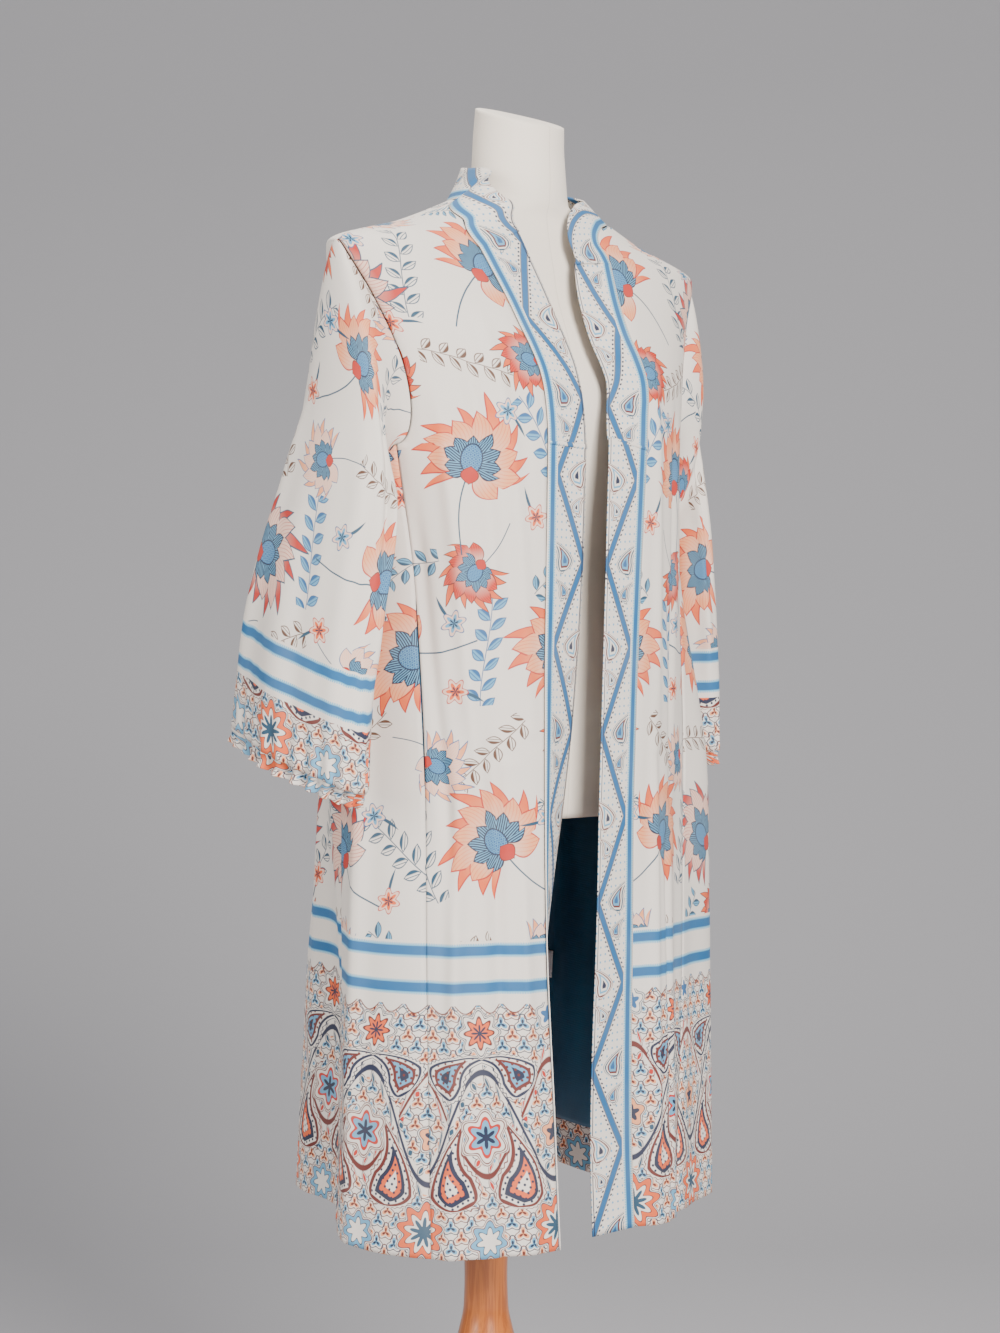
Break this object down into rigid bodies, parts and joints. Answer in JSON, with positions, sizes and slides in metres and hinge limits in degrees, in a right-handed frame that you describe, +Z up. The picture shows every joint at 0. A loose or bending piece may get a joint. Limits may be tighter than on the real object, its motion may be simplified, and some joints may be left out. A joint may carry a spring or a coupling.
{
  "type": "kimono coat on a dress form",
  "caption": "Long open-fronted kimono coat with wide sleeves, gathered cuffs, a printed band and a satin back lining, on a limbless dress form with a round wooden base.",
  "frame": {"origin": "centre of the base's underside, on the floor, on the axis of the post", "axes": "+Z up along the post; the front of the coat faces -Y and the wearer's right side is -X"},
  "size_m": [0.5846, 0.42, 1.5685],
  "materials": {
    "printed_crepe": "fine crepe with a printed pattern",
    "printed_band": "fine crepe with a dense printed border",
    "satin_lining": "satin",
    "pocket_cloth": "plain weave",
    "label": "woven tape",
    "form_cover": "matt cotton cover",
    "varnished_wood": "glossy varnish"
  },
  "bodies": {
    "root": {"back": "printed_crepe", "front_right": "printed_crepe", "front_left": "printed_crepe", "sleeve_right": "printed_crepe", "sleeve_left": "printed_crepe", "cuff_right": "printed_crepe", "cuff_left": "printed_crepe", "band_right": "printed_band", "band_left": "printed_band", "lining_back": "satin_lining", "pocket_right": "pocket_cloth", "pocket_left": "pocket_cloth", "care_label": "label", "form_torso": "form_cover", "form_post": "varnished_wood", "form_base": "varnished_wood"}
  },
  "joints": []
}
